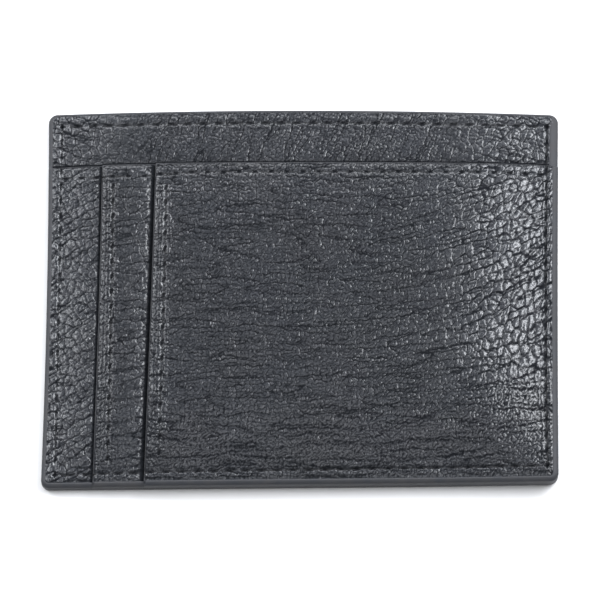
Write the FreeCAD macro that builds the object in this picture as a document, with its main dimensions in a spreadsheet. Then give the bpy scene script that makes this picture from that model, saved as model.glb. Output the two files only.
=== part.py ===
"""Flat leather card holder, lying on its rear face, in millimetres.

+X runs along the long side, +Y towards the open end of the main pocket, +Z out of the front.
The origin is under the middle of the holder, in the plane that the rear face rests on.

Nine sheets are stacked from the rear: the rear leather, a stiffener board, the divider leather
whose top band stays in view, and three pocket layers, each one a leather panel with a cloth lining.
The main pocket opens at the top, between the divider and the base panel. Two card slots open at
the left, one under each slot panel. Every pocket layer is pressed flat in its seams and rises over
a short ramp to leave room for a card. Five lockstitched seams hold the stack, each with a needle
thread on the front and a bobbin thread behind, and the cut edges are painted.
"""

import FreeCAD, Part
import os

import Sketcher
from FreeCAD import Placement, Rotation, Vector

doc = FreeCAD.newDocument("card_holder")

# ---- driving dimensions -------------------------------------------------------------------------

DIMENSIONS = [
    ("leather_width", 101.7),
    ("leather_height", 76.0),
    ("top_crown", 1.0),
    ("corner_radius", 2.0),
    ("edge_paint", 0.15),
    ("rear_leather", 0.9),
    ("stiffener_board", 0.4),
    ("divider_leather", 0.8),
    ("lining_cloth", 0.2),
    ("base_leather", 0.5),
    ("slot_leather", 0.4),
    ("front_leather", 0.6),
    ("pocket_gap", 1.1),
    ("slot_gap", 1.05),
    ("band_height", 10.7),
    ("slot_inset", 10.25),
    ("slot_step", 10.0),
    ("seam_inset", 2.15),
    ("mouth_seam_inset", 1.9),
    ("slot_seam_inset", 2.6),
    ("stop_from_right", 12.25),
    ("ramp_start", 2.9),
    ("mouth_ramp_start", 2.6),
    ("ramp_run", 1.0),
    ("stitch_pitch", 3.14),
    ("thread_radius", 0.13),
    ("needle_radius", 0.35),
    ("dent_width", 0.5),
]

sheet = doc.addObject("Spreadsheet::Sheet", "dims")
for row, (alias, value) in enumerate(DIMENSIONS, start=1):
    sheet.set(f"A{row}", alias)
    sheet.set(f"B{row}", str(value))
    sheet.setAlias(f"B{row}", alias)
doc.recompute()

# Formulas that the features share, in the sheet's own names.
HALF_W = "(dims.leather_width / 2)"
HALF_H = "(dims.leather_height / 2)"
MOUTH_Y = f"({HALF_H} - dims.band_height)"
SLOT_1_X = f"(dims.slot_inset - {HALF_W})"
SLOT_2_X = f"(dims.slot_inset + dims.slot_step - {HALF_W})"
STOP_X = f"({HALF_W} - dims.stop_from_right)"
BACK_TOP = "(dims.rear_leather + dims.stiffener_board + dims.divider_leather)"
BASE_TOP = f"({BACK_TOP} + dims.lining_cloth + dims.base_leather)"
SLOT_TOP = f"({BASE_TOP} + dims.lining_cloth + dims.slot_leather)"
FRONT_TOP = f"({SLOT_TOP} + dims.lining_cloth + dims.front_leather)"


def dim(alias):
    """A driving dimension as a plain number, for geometry made with Part's own functions."""
    return float(getattr(sheet, alias))


def bind(feature, **formulas):
    """Binds properties to formulas of the sheet. Double underscores stand for dots."""
    for name, formula in formulas.items():
        feature.setExpression(name.replace("__", "."), formula)
    return feature


half_w = dim("leather_width") / 2
half_h = dim("leather_height") / 2
mouth_y = half_h - dim("band_height")
slot_1_x = dim("slot_inset") - half_w
slot_2_x = slot_1_x + dim("slot_step")
stop_x = half_w - dim("stop_from_right")
back_top = dim("rear_leather") + dim("stiffener_board") + dim("divider_leather")
base_top = back_top + dim("lining_cloth") + dim("base_leather")
slot_top = base_top + dim("lining_cloth") + dim("slot_leather")
front_top = slot_top + dim("lining_cloth") + dim("front_leather")

# ---- outline: a rectangle with a gently crowned top edge and rounded corners --------------------


def outline_body(label, bottom, height, margin="0"):
    """A PartDesign body: the holder's outline, grown by margin, padded from bottom by height."""
    body = doc.addObject("PartDesign::Body", label)
    sketch = body.newObject("Sketcher::SketchObject", label + "_outline")
    plane = [o for o in body.Origin.OriginFeatures if o.Role == "XY_Plane"][0]
    sketch.AttachmentSupport = (plane, [""])
    sketch.MapMode = "FlatFace"
    low_left, low_right = Vector(-half_w, -half_h, 0), Vector(half_w, -half_h, 0)
    high_left, high_right = Vector(-half_w, half_h, 0), Vector(half_w, half_h, 0)
    crown = Vector(0, half_h + dim("top_crown"), 0)
    bottom_line = sketch.addGeometry(Part.LineSegment(low_left, low_right))
    right_line = sketch.addGeometry(Part.LineSegment(low_right, high_right))
    top_arc = sketch.addGeometry(Part.Arc(high_right, crown, high_left))
    left_line = sketch.addGeometry(Part.LineSegment(high_left, low_left))
    start, end, middle, origin = 1, 2, 3, -1
    for first, second in ((bottom_line, right_line), (left_line, bottom_line)):
        sketch.addConstraint(Sketcher.Constraint("Coincident", first, end, second, start))
    sketch.addConstraint(Sketcher.Constraint("Coincident", right_line, end, top_arc, start))
    sketch.addConstraint(Sketcher.Constraint("Coincident", top_arc, end, left_line, start))
    sketch.addConstraint(Sketcher.Constraint("Vertical", left_line))
    sketch.addConstraint(
        Sketcher.Constraint("Symmetric", bottom_line, start, bottom_line, end, -2)
    )
    sketch.addConstraint(
        Sketcher.Constraint("Symmetric", right_line, start, right_line, end, -1)
    )
    sketch.addConstraint(Sketcher.Constraint("PointOnObject", top_arc, middle, -2))
    width = sketch.addConstraint(
        Sketcher.Constraint("DistanceX", bottom_line, start, bottom_line, end, 2 * half_w)
    )
    tall = sketch.addConstraint(
        Sketcher.Constraint("DistanceY", right_line, start, right_line, end, 2 * half_h)
    )
    arc = sketch.addConstraint(
        Sketcher.Constraint("Radius", top_arc, sketch.Geometry[top_arc].Radius)
    )
    sketch.renameConstraint(width, "width")
    sketch.renameConstraint(tall, "tall")
    sketch.renameConstraint(arc, "crown_radius")
    crown_radius = f"({HALF_W} * {HALF_W} + dims.top_crown * dims.top_crown) / (2 * dims.top_crown)"
    bind(
        sketch,
        Constraints__width=f"dims.leather_width + 2 * ({margin})",
        Constraints__tall=f"dims.leather_height + 2 * ({margin})",
        Constraints__crown_radius=crown_radius,
    )
    pad = body.newObject("PartDesign::Pad", label + "_pad")
    pad.Profile = sketch
    bind(pad, Length=height)
    doc.recompute()
    upright = [
        f"Edge{i}"
        for i, edge in enumerate(pad.Shape.Edges, start=1)
        if abs(edge.BoundBox.ZLength - float(pad.Length)) < 1e-6
    ]
    corners = body.newObject("PartDesign::Fillet", label + "_corners")
    corners.Base = (pad, upright)
    bind(corners, Radius=f"dims.corner_radius + ({margin})")
    bind(body, Placement__Base__z=bottom)
    body.Tip = corners
    doc.recompute()
    return body


# ---- helpers for the pocket layers --------------------------------------------------------------

BLOCK_DEPTH = 10  # how far the construction blocks reach below the rest plane
OPEN = 80  # how far a block runs past a side that has no ramp


def block(name, left, right, low, high, bottom, top):
    """A Part::Box between six formulas."""
    box = doc.addObject("Part::Box", name)
    bind(
        box,
        Length=f"({right}) - ({left})",
        Width=f"({high}) - ({low})",
        Height=f"({top}) - ({bottom})",
        Placement__Base__x=left,
        Placement__Base__y=low,
        Placement__Base__z=bottom,
    )
    return box


def rise(name, left, right, low, high, bottom, gap, ramps):
    """A Part::Wedge that lifts a layer by gap, with a ramp on each side named in ramps."""
    wedge = doc.addObject("Part::Wedge", name)
    wedge.Placement = Placement(Vector(0, 0, 0), Rotation(Vector(1, 0, 0), 90))
    inward = {side: "dims.ramp_run" if side in ramps else "0" for side in "LRBT"}
    bind(
        wedge,
        Xmin=left,
        Xmax=right,
        Zmin=f"-({high})",
        Zmax=f"-({low})",
        Ymin=bottom,
        Ymax=f"{bottom} + {gap}",
        X2min=f"({left}) + {inward['L']}",
        X2max=f"({right}) - {inward['R']}",
        Z2min=f"-({high}) + {inward['T']}",
        Z2max=f"-({low}) - {inward['B']}",
    )
    return wedge


RAMP_0 = f"({HALF_H} - dims.ramp_start)"  # the bottom seam's ramps, one inside the next
SIDE_0 = f"({HALF_W} - dims.ramp_start)"
TOP_0 = f"({MOUTH_Y} - dims.mouth_ramp_start)"
RUN = "dims.ramp_run"


def main_rise(name, level):
    """Room for the main pocket, which has no ramp at its open top."""
    return rise(
        name, f"-{SIDE_0}", SIDE_0, f"-{RAMP_0}", str(OPEN), level, "dims.pocket_gap", "LRB"
    )


def slot_rise(name, level, right, lifts):
    """Room for one more slot above the main pocket and the lifts below it."""
    return rise(
        name,
        str(-OPEN),
        right,
        f"-{RAMP_0} + {lifts} * {RUN}",
        f"{TOP_0} - ({lifts} - 1) * {RUN}",
        f"({level} + dims.pocket_gap + ({lifts} - 1) * dims.slot_gap)",
        "dims.slot_gap",
        "RBT",
    )


def surface(name, level, kind):
    """The solid below one face of a pocket layer. kind is base, slot or front."""
    pieces = [
        block(
            name + "_slab", str(-OPEN), str(OPEN), str(-OPEN), str(OPEN), str(-BLOCK_DEPTH), level
        ),
        main_rise(name + "_pocket", level),
    ]
    if kind == "slot":
        pieces.append(slot_rise(name + "_slot", level, STOP_X, 1))
    if kind == "front":
        pieces.append(slot_rise(name + "_any_slot", level, f"{SIDE_0} - {RUN}", 1))
        pieces.append(slot_rise(name + "_both_slots", level, f"{STOP_X} + {RUN}", 2))
    solid = doc.addObject("Part::MultiFuse", name)
    solid.Shapes = pieces
    return solid


def cut(name, base, tool):
    feature = doc.addObject("Part::Cut", name)
    feature.Base = base
    feature.Tool = tool
    return feature


def common(name, *shapes):
    feature = doc.addObject("Part::MultiCommon", name)
    feature.Shapes = list(shapes)
    return feature


def fused(name, *shapes):
    feature = doc.addObject("Part::MultiFuse", name)
    feature.Shapes = list(shapes)
    return feature


def made(name, shape):
    """A Part::Feature that holds a shape from Part's own functions."""
    feature = doc.addObject("Part::Feature", name)
    feature.Shape = shape
    feature.Placement = Placement()
    return feature


# ---- seams: where the needle goes through -------------------------------------------------------


def evenly(first, last, pitch):
    """Places from first to last, as near to the pitch as whole stitches allow."""
    count = max(1, round(abs(last - first) / pitch))
    return [first + (last - first) * i / count for i in range(count + 1)]


pitch = dim("stitch_pitch")
seam_x = half_w - dim("seam_inset")
seam_y = half_h - dim("seam_inset")
lifted = dim("pocket_gap")
open_slot = dim("slot_gap")


def crown_at(x):
    """How far the top edge stands above its corners, near enough a parabola."""
    return dim("top_crown") * (1 - (x / half_w) ** 2)


def panel_top(x, y):
    """Height of the uppermost panel at a place, where the layers are pressed flat."""
    if y > mouth_y:
        return back_top
    if x < slot_1_x:
        return base_top
    return slot_top if x < slot_2_x else front_top


def perimeter_seam():
    across = evenly(-seam_x, seam_x, pitch)
    up = evenly(-seam_y, seam_y, pitch)
    bottom = [(x, -seam_y) for x in across]
    right = [(seam_x, y) for y in up[1:]]
    top = [(x, seam_y + crown_at(x) - crown_at(seam_x)) for x in across[-2::-1]]
    left = [(-seam_x, y) for y in up[-2:0:-1]]
    return [(x, y, panel_top(x, y), 0.0) for x, y in bottom + right + top + left]


MOUTH_SEAM_END = 45.5  # the pocket mouth's seam stops where the layers ramp down to the sides
SLOT_SEAM_ENDS = (-32.4, 22.8)  # the slot seams run between the pressed bottom and top seams
FRONT_SEAM_ENDS = (-31.6, 22.2)
STOP_SEAM_ENDS = (-31.0, 22.0)

mouth_seam_y = mouth_y - dim("mouth_seam_inset")
slot_1_seam_x = slot_1_x + dim("slot_seam_inset")
slot_2_seam_x = slot_2_x + dim("slot_seam_inset")
stop_seam_x = stop_x + dim("ramp_run")

pocket_mouth = [
    (x, mouth_seam_y, panel_top(x, 0) + lifted, back_top + lifted)
    for x in evenly(-MOUTH_SEAM_END, MOUTH_SEAM_END, pitch)
]


def upright_seam(x, ends, top, bottom):
    return [(x, y, top, bottom) for y in evenly(*ends, pitch)]


SEAMS = {
    "perimeter": perimeter_seam(),
    "pocket_mouth": pocket_mouth,
    "slot_1_mouth": upright_seam(
        slot_1_seam_x, SLOT_SEAM_ENDS, slot_top + lifted + open_slot, base_top + lifted + open_slot
    ),
    "slot_2_mouth": upright_seam(
        slot_2_seam_x,
        FRONT_SEAM_ENDS,
        front_top + lifted + 2 * open_slot,
        slot_top + lifted + 2 * open_slot,
    ),
    "slot_1_stop": upright_seam(stop_seam_x, STOP_SEAM_ENDS, slot_top + lifted, back_top + lifted),
}


def stitch_pairs(name):
    """Neighbouring needle holes. The perimeter seam closes on itself."""
    holes = SEAMS[name]
    return list(zip(holes, holes[1:] + (holes[:1] if name == "perimeter" else [])))


def needle_holes(name):
    return [
        Part.makeCylinder(
            dim("needle_radius"), top - bottom + 4, Vector(x, y, bottom - 2)
        )
        for x, y, top, bottom in SEAMS[name]
    ]


EASE = 0.02  # between a thread and the bottom of its trough
DENT_DEPTH = 2 * dim("thread_radius") + EASE
CLOTH_DENT = 0.12  # a bobbin thread on lining cloth is only half sunk


def trough(start, end, level):
    """A shallow trough that the tight thread presses into the leather between two places."""
    a, b = Vector(start.x, start.y, level), Vector(end.x, end.y, level)
    box = Part.makeBox((b - a).Length, dim("dent_width"), DENT_DEPTH)
    box.translate(Vector(0, -dim("dent_width") / 2, 0))
    box.Placement = Placement(a, Rotation(Vector(1, 0, 0), b - a)).multiply(box.Placement)
    return box


def sink(name):
    """How deep the bobbin thread of a seam lies in the sheet behind."""
    return DENT_DEPTH if name == "perimeter" else CLOTH_DENT


def dents(name, front):
    """The troughs of one seam's needle thread, or of its bobbin thread."""
    found = []
    for first, second in stitch_pairs(name):
        a, b = Vector(first[0], first[1], 0), Vector(second[0], second[1], 0)
        if not front:
            found.append(trough(a, b, first[3] + sink(name) - DENT_DEPTH))
        elif abs(first[2] - second[2]) < 1e-6:
            found.append(trough(a, b, first[2] - DENT_DEPTH))
        else:
            bend = over_the_edge(a, b, first[2], second[2])
            found.append(trough(a, bend, first[2] - DENT_DEPTH))
            found.append(trough(bend, b, second[2] - DENT_DEPTH))
    return found


def over_the_edge(start, end, top_1, top_2):
    """Where a stitch that steps between two panels bends, just clear of the upper one's edge."""
    step = end - start
    if abs(step.x) > abs(step.y):
        places = [(edge - start.x) / step.x for edge in (slot_1_x, slot_2_x)]
    else:
        places = [(mouth_y - start.y) / step.y]
    crossing = min(places, key=lambda place: abs(place - 0.5))
    clear = (dim("edge_paint") + 2 * dim("thread_radius")) / step.Length
    return start + step * (crossing + (clear if top_1 > top_2 else -clear))


# ---- threads ------------------------------------------------------------------------------------

SIDE_STEP = 0.18  # a hole holds two legs side by side, this far from its middle
SLANT = 0.07  # machine stitches lean a little across the seam
LEG_GAP = 0.02  # between the ends of the needle leg and the bobbin leg


def stitch(name, first, second, front):
    """One stitch: a bar between two holes, with a leg into each."""
    radius = dim("thread_radius")
    x1, y1, top1, low1 = first
    x2, y2, top2, low2 = second
    along = Vector(x2 - x1, y2 - y1, 0).normalize()
    across = Vector(-along.y, along.x, 0)
    lean = SLANT if front else -SLANT
    start = Vector(x1, y1, 0) + along * SIDE_STEP + across * lean
    end = Vector(x2, y2, 0) - along * SIDE_STEP - across * lean
    depth = sink(name) - EASE - radius
    z1, z2 = (top1 - radius, top2 - radius) if front else (low1 + depth, low2 + depth)
    half_1, half_2 = (top1 + low1) / 2, (top2 + low2) / 2
    gap = LEG_GAP if front else -LEG_GAP
    points = [start + Vector(0, 0, half_1 + gap), start + Vector(0, 0, z1)]
    if abs(z1 - z2) > 1e-6:
        points.append(over_the_edge(start, end, z1, z2) + Vector(0, 0, max(z1, z2)))
    points += [end + Vector(0, 0, z2), end + Vector(0, 0, half_2 + gap)]
    path = Part.Wire([Part.makeLine(p, q) for p, q in zip(points, points[1:])])
    ring = Part.Wire([Part.makeCircle(radius, points[0], Vector(0, 0, 1))])
    return path.makePipeShell([ring], True, False, 1)


def thread(name, front):
    shape = Part.makeCompound([stitch(name, a, b, front) for a, b in stitch_pairs(name)])
    return made(f"{name}_{'needle' if front else 'bobbin'}_thread", shape)


# ---- the sheets ---------------------------------------------------------------------------------


def tool(name, through, front=(), behind=()):
    """Everything that the seams take out of one sheet."""
    shapes = [hole for seam in through for hole in needle_holes(seam)]
    shapes += [dent for seam in front for dent in dents(seam, True)]
    shapes += [dent for seam in behind for dent in dents(seam, False)]
    return made(name, Part.makeCompound(shapes))


doc.recompute()
trim = outline_body("trim_block", str(-1), "20")

sheets = {}
for label, bottom, height, front, behind in (
    ("rear_panel", "0", "dims.rear_leather", (), ("perimeter",)),
    ("rear_stiffener", "dims.rear_leather", "dims.stiffener_board", (), ()),
    (
        "divider_panel",
        "(dims.rear_leather + dims.stiffener_board)",
        "dims.divider_leather",
        ("perimeter",),
        (),
    ),
):
    solid = outline_body(label + "_solid", bottom, height)
    sheets[label] = cut(label, solid, tool(label + "_needlework", ("perimeter",), front, behind))

LINING = "dims.lining_cloth"
POCKET_LAYERS = [
    ("base_lining", "base_panel", "base", BACK_TOP, BASE_TOP, f"-{HALF_W}"),
    ("slot_1_lining", "slot_1_panel", "slot", BASE_TOP, SLOT_TOP, SLOT_1_X),
    ("slot_2_lining", "slot_2_panel", "front", SLOT_TOP, FRONT_TOP, SLOT_2_X),
]
SEWN_THROUGH = {
    "base": ("perimeter", "pocket_mouth", "slot_1_stop"),
    "slot": ("perimeter", "pocket_mouth", "slot_1_mouth", "slot_1_stop"),
    "front": ("perimeter", "pocket_mouth", "slot_2_mouth"),
}
SEWN_ON_TOP = {
    "base": ("perimeter", "pocket_mouth"),
    "slot": ("perimeter", "pocket_mouth", "slot_1_mouth", "slot_1_stop"),
    "front": ("perimeter", "pocket_mouth", "slot_2_mouth"),
}
SEWN_BEHIND = {
    "base": ("pocket_mouth", "slot_1_stop"),
    "slot": ("slot_1_mouth",),
    "front": ("slot_2_mouth",),
}

skins = {}
for lining, panel, kind, low, high, left in POCKET_LAYERS:
    between = f"({low} + {LINING})"
    faces = [
        surface(f"{panel}_face_{i}", level, kind) for i, level in enumerate((low, between, high))
    ]
    window = block(panel + "_window", left, HALF_W, f"-{HALF_H}", MOUTH_Y, "0", "15")
    for label, upper, lower in ((lining, faces[1], faces[0]), (panel, faces[2], faces[1])):
        skins[label] = cut(label + "_skin", upper, lower)
        sheet_solid = common(label + "_solid", trim, window, skins[label])
        on_top, behind = (SEWN_ON_TOP[kind], ()) if label == panel else ((), SEWN_BEHIND[kind])
        work = tool(label + "_needlework", SEWN_THROUGH[kind], on_top, behind)
        sheets[label] = cut(label, sheet_solid, work)

# ---- painted edges ------------------------------------------------------------------------------

PAINT = "dims.edge_paint"
grown = outline_body("paint_block", str(-1), "20", PAINT)
ring = cut("paint_ring", grown, trim)
FAR = str(OPEN)
heights = fused(
    "paint_heights",
    block("band_height_block", f"-{FAR}", FAR, f"-{FAR}", FAR, "0", BACK_TOP),
    block("pocket_height_base", f"-{FAR}", FAR, f"-{FAR}", MOUTH_Y, "0", BASE_TOP),
    block("pocket_height_slot", SLOT_1_X, FAR, f"-{FAR}", MOUTH_Y, "0", SLOT_TOP),
    block("pocket_height_front", SLOT_2_X, FAR, f"-{FAR}", MOUTH_Y, "0", FRONT_TOP),
)
sheets["perimeter_edge_paint"] = common("perimeter_edge_paint", ring, heights)

mouth_coats = []
for lining, panel, kind, low, high, left in POCKET_LAYERS:
    strip = block(panel + "_coat_window", left, HALF_W, MOUTH_Y, f"{MOUTH_Y} + {PAINT}", "0", "15")
    for label in (lining, panel):
        mouth_coats.append(common(label + "_coat", trim, strip, skins[label]))
crossed = ("perimeter", "pocket_mouth")
sheets["pocket_mouth_edge_paint"] = cut(
    "pocket_mouth_edge_paint",
    fused("pocket_mouth_coats", *mouth_coats),
    tool("pocket_mouth_coat_troughs", (), crossed),
)

for (lining, panel, kind, low, high, left), label in zip(
    POCKET_LAYERS[1:], ("slot_1_edge_paint", "slot_2_edge_paint")
):
    strip = block(label + "_window", f"{left} - {PAINT}", left, f"-{HALF_H}", MOUTH_Y, "0", "15")
    coats = [common(f"{label}_{i}", trim, strip, skins[name]) for i, name in enumerate((lining, panel))]
    coat = fused(label + "_coats", *coats)
    sheets[label] = cut(label, coat, tool(label + "_troughs", (), crossed))

# ---- seams --------------------------------------------------------------------------------------

for name in SEAMS:
    for front in (True, False):
        feature = thread(name, front)
        sheets[feature.Label] = feature

# ---- checks and files ---------------------------------------------------------------------------

doc.recompute()
for feature in doc.Objects:
    if {"Invalid", "Error"} & set(feature.State):
        raise RuntimeError(f"{feature.Label} failed: {feature.State}")
os.makedirs("parts", exist_ok=True)
for label, feature in sheets.items():
    shape = feature.Shape
    if shape.isNull() or not shape.isValid() or not shape.Solids:
        raise RuntimeError(f"{label} has no valid solid")
    box = shape.BoundBox
    print(
        f"{label:34s} solids {len(shape.Solids):4d} faces {len(shape.Faces):5d}"
        f" volume {shape.Volume:9.2f} z {box.ZMin:6.3f}..{box.ZMax:6.3f}"
    )
    shape.exportStep(f"parts/{label}.step")
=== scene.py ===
# %% [markdown]
# # A flat leather card holder
# The packed model says where everything is. This lesson dresses it: each stiff CAD sheet is
# replaced by a soft one with real grain, painted edges and sewn seams, all made by mesh code.

# %% Load the packed model
import math

import bpy
import numpy as np
from mathutils import Matrix, Vector


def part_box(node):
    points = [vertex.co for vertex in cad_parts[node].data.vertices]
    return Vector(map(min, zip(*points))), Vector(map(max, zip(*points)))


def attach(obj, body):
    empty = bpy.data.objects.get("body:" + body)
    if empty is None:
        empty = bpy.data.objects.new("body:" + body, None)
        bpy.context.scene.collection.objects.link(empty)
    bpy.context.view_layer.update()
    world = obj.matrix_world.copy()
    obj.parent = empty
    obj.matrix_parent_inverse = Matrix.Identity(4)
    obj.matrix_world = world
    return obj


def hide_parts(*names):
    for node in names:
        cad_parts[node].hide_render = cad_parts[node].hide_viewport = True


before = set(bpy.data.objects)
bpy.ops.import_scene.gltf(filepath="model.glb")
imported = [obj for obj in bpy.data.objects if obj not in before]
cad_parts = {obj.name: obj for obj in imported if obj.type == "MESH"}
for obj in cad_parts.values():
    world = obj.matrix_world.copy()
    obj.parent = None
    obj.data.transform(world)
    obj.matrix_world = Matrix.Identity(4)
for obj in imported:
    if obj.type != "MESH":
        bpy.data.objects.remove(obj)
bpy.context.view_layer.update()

# %% [markdown]
# ## Sizes
# A leather worker thinks in millimetres, so the code does too, and only the mesh maker turns
# them into metres. Every place comes from the boxes of the packed nodes, so the soft pieces stay
# where the design has them.

# %% Read the sizes in millimetres
MM = 0.001
MOUTH_DROP = 0.35  # the seam draws the pocket's mouth down this far


def corners(node):
    """A packed node's lowest and highest corners."""
    low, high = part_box(node)
    return np.array(low) / MM, np.array(high) / MM


leather_low, leather_high = corners("rear_panel")
half_w, half_h = leather_high[0], -leather_low[1]
crown = leather_high[1] - half_h
coat = corners("perimeter_edge_paint")[1][0] - half_w
rear_top = leather_high[2]
board_top = corners("rear_stiffener")[1][2]
divider_top = corners("divider_panel")[1][2]
mouth_y = corners("base_panel")[1][1] - MOUTH_DROP
slot_x = {"slot": corners("slot_1_panel")[0][0], "front": corners("slot_2_panel")[0][0]}
stop_x = corners("slot_1_stop_needle_thread")[1][0]
print("half size", half_w, half_h, "mouth", mouth_y, "slots", slot_x)


# %% Measure the pocket layers
def pressed(panel, lining):
    """How thick a pocket layer's cloth and leather are, and how high its face is where a seam
    presses it."""
    (panel_low, panel_high), (cloth_low, cloth_high) = corners(panel), corners(lining)
    leather = panel_high[2] - cloth_high[2]
    return {"cloth": panel_low[2] - cloth_low[2], "leather": leather, "top": panel_low[2] + leather}


layers = {
    "base": pressed("base_panel", "base_lining"),
    "slot": pressed("slot_1_panel", "slot_1_lining"),
    "front": pressed("slot_2_panel", "slot_2_lining"),
}
print("layers", layers)

# %% [markdown]
# ## How leather settles
# A hand-made holder is never quite square. Once sewn, its sides draw in a little, its lower edge
# runs up to the right, and one corner lifts off the table. One function bends every piece the
# same way, so they stay together.


# %% Bend every piece the same way
RUN_UP, LEAN, WAIST, SKEW, LIFT = 0.5, 0.4, 0.275, 0.125, 0.7


def ease(t):
    """0 below 0, 1 above 1, and a soft step in between."""
    t = np.clip(t, 0, 1)
    return t * t * (3 - 2 * t)


def settle(points):
    """Moves points of the square design to where the soft holder has them."""
    x, y, z = points.T
    across, up = x / half_w, y / half_h
    bow = crown * (1 - across**2) * np.clip(up, 0, 1.1) ** 2
    run_up = RUN_UP * across * np.clip((1 - up) / 2, 0, 1)
    lean = LEAN * up
    waist = (SKEW * across - WAIST) * across * (1 - up**2)
    lift = LIFT * ease((across - 0.45) / 0.6) * ease((-up - 0.3) / 0.8)
    return np.stack([x + lean + waist, y + bow + run_up, z + lift], 1)


print("a corner settles from", (half_w, -half_h), "to", settle(np.array([[half_w, -half_h, 0]]))[0])

# %% [markdown]
# ## Mesh makers
# Sheets are grids with a face, a back and a rim. Coats, beads and threads are tubes: rings of
# points joined into quads. Modifiers could thicken a plane or sweep a curve, but here each point
# has its own height, so arrays of points say it best and are fast.


# %% Make grids and sheets
def grid_faces(rows, columns):
    """The quads of a grid of points."""
    i = np.arange(rows * columns).reshape(rows, columns)
    return np.stack([i[:-1, :-1], i[:-1, 1:], i[1:, 1:], i[1:, :-1]], -1).reshape(-1, 4)


def edge_walk(index):
    """The indices round a grid, once."""
    return np.concatenate([index[0, :-1], index[:-1, -1], index[-1, :0:-1], index[:0:-1, 0]])


def shell(x, y, face, back, skip=1):
    """A closed sheet with a face and a back over one grid. The back keeps every skip-th line."""
    rows, columns = x.shape
    keep_rows = np.unique(np.append(np.arange(0, rows, skip), rows - 1))
    keep_columns = np.unique(np.append(np.arange(0, columns, skip), columns - 1))
    kept = np.ix_(keep_rows, keep_columns)
    fine = np.arange(rows * columns).reshape(rows, columns)
    coarse = np.arange(len(keep_rows) * len(keep_columns)).reshape(len(keep_rows), -1)
    coarse = coarse + rows * columns
    points = np.concatenate([np.stack([x, y, face], -1).reshape(-1, 3),
                             np.stack([x[kept], y[kept], back[kept]], -1).reshape(-1, 3)])
    walk, low_walk = edge_walk(fine), edge_walk(coarse)
    corner = np.isin(walk, edge_walk(fine[kept]))
    below = low_walk[np.cumsum(corner) - 1]
    side = np.stack([below, np.roll(walk, -1), walk, np.full_like(walk, -1)], 1)
    step = np.roll(corner, -1)
    down = np.stack([below, np.roll(below, -1), np.roll(walk, -1), np.full_like(walk, -1)], 1)[step]
    back_faces = grid_faces(*coarse.shape)[:, ::-1] + rows * columns
    return points, np.concatenate([grid_faces(rows, columns), back_faces, side, down])


print("a grid of 3 by 4 points has", len(grid_faces(3, 4)), "faces")


# %% Make tubes
def tube(rings, closed=False):
    """Joins rings of points, an array of ring, point, axis, into a closed surface."""
    count, sides = rings.shape[:2]
    i = np.arange(count * sides).reshape(count, sides)
    i = np.concatenate([i, i[:1]]) if closed else i
    i = np.concatenate([i, i[:, :1]], 1)
    faces = [np.stack([i[:-1, :-1], i[:-1, 1:], i[1:, 1:], i[1:, :-1]], -1).reshape(-1, 4)]
    if not closed:
        for ring in (i[0, ::-1], i[-1]):
            faces.append(np.array([[ring[0], ring[k], ring[k + 1], ring[k + 2]]
                                   for k in range(1, sides - 1, 2)]))
    return rings.reshape(-1, 3), np.concatenate(faces)


print("a tube of 2 rings of 6 points has", len(tube(np.zeros((2, 6, 3)))[1]), "faces")


# %% Join geometry and make objects
def joined(parts):
    """Several point and face arrays as one."""
    points, faces, count = [], [], 0
    for some_points, some_faces in parts:
        points.append(some_points)
        faces.append(np.where(some_faces < 0, -1, some_faces + count))
        count += len(some_points)
    return np.concatenate(points), np.concatenate(faces)


def piece(name, geometry, finish, nodes, marks=None):
    """Settles the points, makes the object, hangs it on the root body and hides the packed nodes
    that it stands for. A corner of -1 is left out, so that its face is a triangle."""
    points, faces = geometry
    used = faces >= 0
    corners_of = used.sum(1)
    mesh = bpy.data.meshes.new(name)
    mesh.vertices.add(len(points))
    mesh.vertices.foreach_set("co", (settle(points) * MM).astype(np.float32).ravel())
    mesh.loops.add(int(used.sum()))
    mesh.loops.foreach_set("vertex_index", faces[used].astype(np.int32))
    mesh.polygons.add(len(faces))
    mesh.polygons.foreach_set("loop_start", (np.cumsum(corners_of) - corners_of).astype(np.int32))
    for mark, values in (marks or {}).items():
        mesh.attributes.new(mark, "FLOAT", "POINT").data.foreach_set(
            "value", values.astype(np.float32).ravel())
    mesh.update(calc_edges=True)
    mesh.shade_smooth()
    made = bpy.data.objects.new(name, mesh)
    bpy.context.scene.collection.objects.link(made)
    mesh.materials.append(finish)
    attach(made, "root")
    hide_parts(*nodes)
    print(f"{name}: {len(points)} points, {len(faces)} faces")
    return made


# %% [markdown]
# ## Shader maths
# A finish is a small sum: so much crease, so much sheen. Writing it as Python arithmetic keeps
# it readable, so one class wraps a socket, and each operator adds a Math node.


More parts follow.
